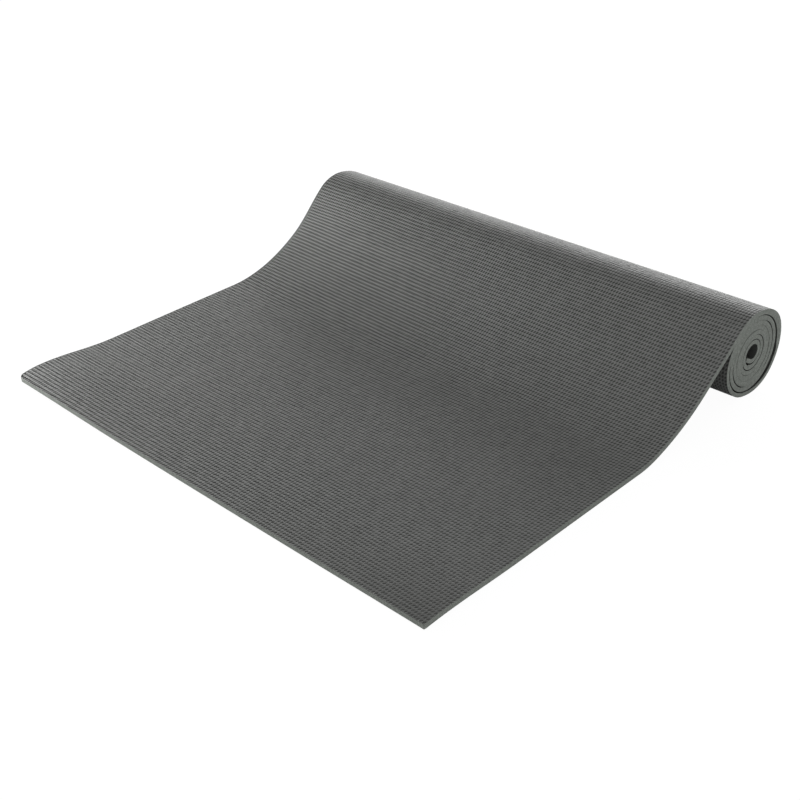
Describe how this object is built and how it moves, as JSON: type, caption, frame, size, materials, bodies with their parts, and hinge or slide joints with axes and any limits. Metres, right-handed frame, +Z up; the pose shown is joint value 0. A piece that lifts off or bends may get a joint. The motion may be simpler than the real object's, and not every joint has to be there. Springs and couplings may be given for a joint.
{
  "type": "fitness mat",
  "caption": "Embossed grey foam fitness mat, half unrolled: a flat front part, a slope and a wound roll, with cross lines where the sheet folds and peels.",
  "frame": {"origin": "on the floor, under the middle of the mat as it lies, half way between the free edge and the back of the roll", "axes": "+X across the mat, along the roll; +Y from the free end towards the roll; +Z up"},
  "size_m": [0.61, 0.5434, 0.0954],
  "materials": {
    "foam": "matt grey embossed foam, with smoother and slightly lighter cut edges",
    "scrim": "off-white woven yarn, unseen inside the foam"
  },
  "bodies": {
    "bed": {"bed_top_foam": "foam", "bed_scrim": "scrim", "bed_base_foam": "foam"},
    "front": {"front_top_foam": "foam", "front_scrim": "scrim", "front_base_foam": "foam"},
    "free_end": {"free_end_top_foam": "foam", "free_end_scrim": "scrim", "free_end_base_foam": "foam"},
    "slope": {"slope_top_foam": "foam", "slope_scrim": "scrim", "slope_base_foam": "foam"},
    "roll": {"roll_top_foam": "foam", "roll_scrim": "scrim", "roll_base_foam": "foam"}
  },
  "joints": [
    {"name": "front_fold", "type": "hinge", "parent": "bed", "child": "front", "pos_m": [0, -0.08673, 0.0055], "axis": [-1, 0, 0], "range_deg": [0, 90]},
    {"name": "free_end_lift", "type": "hinge", "parent": "front", "child": "free_end", "pos_m": [0, -0.18673, 0.0055], "axis": [-1, 0, 0], "range_deg": [0, 90]},
    {"name": "slope_raise", "type": "hinge", "parent": "bed", "child": "slope", "pos_m": [0, 0.02527, 0.0055], "axis": [1, 0, 0], "range_deg": [0, 60]},
    {"name": "roll_peel", "type": "hinge", "parent": "slope", "child": "roll", "pos_m": [0, 0.18555, 0.08553], "axis": [1, 0, 0], "range_deg": [0, 75]}
  ]
}
